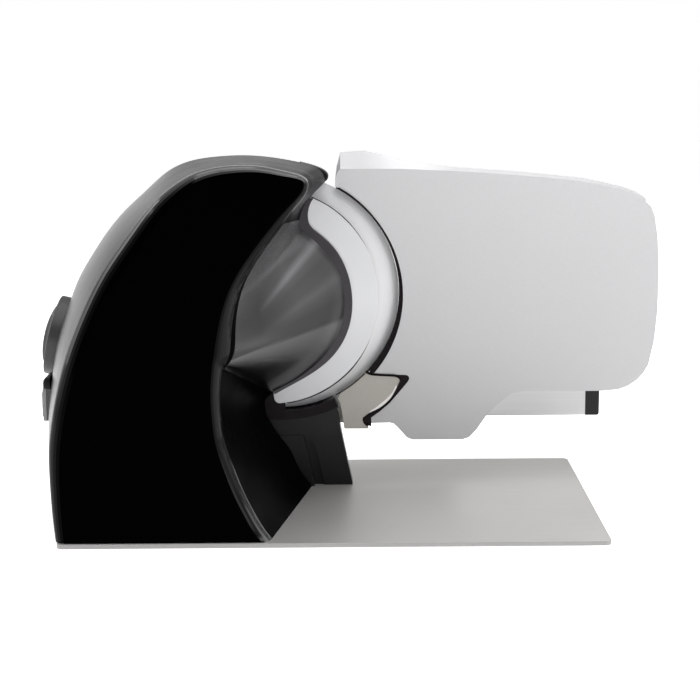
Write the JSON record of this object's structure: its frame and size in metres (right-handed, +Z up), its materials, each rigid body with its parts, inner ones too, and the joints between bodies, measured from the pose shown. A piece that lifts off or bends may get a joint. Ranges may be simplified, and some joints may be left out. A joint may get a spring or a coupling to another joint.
{
  "type": "food slicer",
  "caption": "Belt-driven food slicer with a vertical round blade, a scroll-cam gauge plate set by a side knob, a sliding food carriage with pusher and push-button switches.",
  "frame": {"origin": "bottom centre of the whole object's box, on the plane its feet rest on", "axes": "+X to the operator's right along the carriage rail, +Y away from the operator along the blade axis, +Z up"},
  "size_m": [0.5216, 0.33, 0.2924],
  "materials": {
    "black_gloss": "high gloss",
    "grey_gloss": "high gloss",
    "smoke_plastic": "gloss, smoky",
    "black_plastic": "fine satin",
    "steel": "brushed",
    "polished_steel": "fine brushed",
    "machine_steel": "turned",
    "satin_aluminium": "satin",
    "cast_aluminium": "cast, satin",
    "beige_plate": "satin",
    "bush_bronze": "turned",
    "inner_plastic": "satin",
    "clear_plastic": "gloss",
    "rubber": "matt"
  },
  "bodies": {
    "frame": {"base_plate": "steel", "rubber_feet": "rubber", "feet_screws": "machine_steel", "chassis": "cast_aluminium", "chassis_screws": "machine_steel", "front_cover": "black_gloss", "rear_housing": "black_gloss", "slice_deflector": "grey_gloss", "deflector_rim": "smoke_plastic", "blade_cover_plate": "polished_steel", "blade_guard": "smoke_plastic", "support_leg": "black_plastic", "bridge_plate": "beige_plate", "back_cover": "black_plastic", "bearing_housing": "cast_aluminium", "bearing_front": "machine_steel", "bearing_rear": "machine_steel", "motor_case": "machine_steel", "motor_stator": "machine_steel", "drive_belt": "rubber", "gauge_bush_front": "bush_bronze", "gauge_bush_rear": "bush_bronze", "guide_rod": "machine_steel", "carriage_rail": "satin_aluminium", "rail_bracket": "black_plastic", "rail_cap_right": "black_plastic", "rail_cap_left": "black_plastic", "dial_ring": "black_plastic", "switch_bezel": "black_plastic", "control_box": "black_plastic", "cable_gland": "black_plastic"},
    "blade_set": {"blade": "polished_steel", "blade_shaft": "machine_steel", "blade_screws": "machine_steel", "blade_pulley": "cast_aluminium"},
    "motor_rotor_set": {"motor_rotor": "machine_steel", "motor_fan": "black_plastic", "motor_pulley": "cast_aluminium"},
    "knob_set": {"thickness_knob": "black_plastic", "knob_shaft": "machine_steel", "scroll_cam": "inner_plastic"},
    "gauge_set": {"gauge_plate": "satin_aluminium", "gauge_edge_strip": "smoke_plastic", "gauge_bracket": "cast_aluminium", "gauge_arm": "cast_aluminium", "gauge_rod": "machine_steel", "slide_yoke": "cast_aluminium", "follower_pin": "machine_steel", "gauge_screws": "machine_steel"},
    "carriage_set": {"carriage_tray": "satin_aluminium", "carriage_fence": "satin_aluminium", "carriage_slider": "inner_plastic", "pusher_rod": "machine_steel", "carriage_handle": "black_plastic"},
    "pusher_set": {"pusher_plate": "clear_plastic", "pusher_carrier": "black_plastic", "pusher_grip": "black_plastic"},
    "on_button_body": {"on_button": "black_plastic"},
    "off_button_body": {"off_button": "black_plastic"}
  },
  "joints": [
    {"name": "blade_spin", "type": "hinge", "parent": "frame", "child": "blade_set", "pos_m": [-0.0709, -0.015, 0.1759], "axis": [0, 1, 0], "continuous": true},
    {"name": "motor_spin", "type": "hinge", "parent": "frame", "child": "motor_rotor_set", "pos_m": [-0.1592, -0.065, 0.1395], "axis": [0, 1, 0], "continuous": true},
    {"name": "gauge_slide", "type": "slide", "parent": "frame", "child": "gauge_set", "axis": [0, -1, 0], "range_m": [0, 0.014]},
    {"name": "knob_turn", "type": "hinge", "parent": "frame", "child": "knob_set", "pos_m": [-0.2522, -0.043, 0.1501], "axis": [-0.9715, 0, 0.2368], "range_deg": [0, 300]},
    {"name": "carriage_slide", "type": "slide", "parent": "frame", "child": "carriage_set", "axis": [-1, 0, 0], "range_m": [0, 0.19]},
    {"name": "pusher_slide", "type": "slide", "parent": "carriage_set", "child": "pusher_set", "axis": [0, -1, 0], "range_m": [0, 0.096]},
    {"name": "on_press", "type": "slide", "parent": "frame", "child": "on_button_body", "axis": [1, 0, 0], "range_m": [0, 0.002], "stiffness_N_per_m": 500, "springref_m": -0.001},
    {"name": "off_press", "type": "slide", "parent": "frame", "child": "off_button_body", "axis": [1, 0, 0], "range_m": [0, 0.002], "stiffness_N_per_m": 500, "springref_m": -0.001}
  ],
  "couplings": [
    {"joint": "motor_spin", "follows": "blade_spin", "ratio": 4},
    {"joint": "knob_turn", "follows": "gauge_slide", "rad_per_m": 373.99}
  ]
}
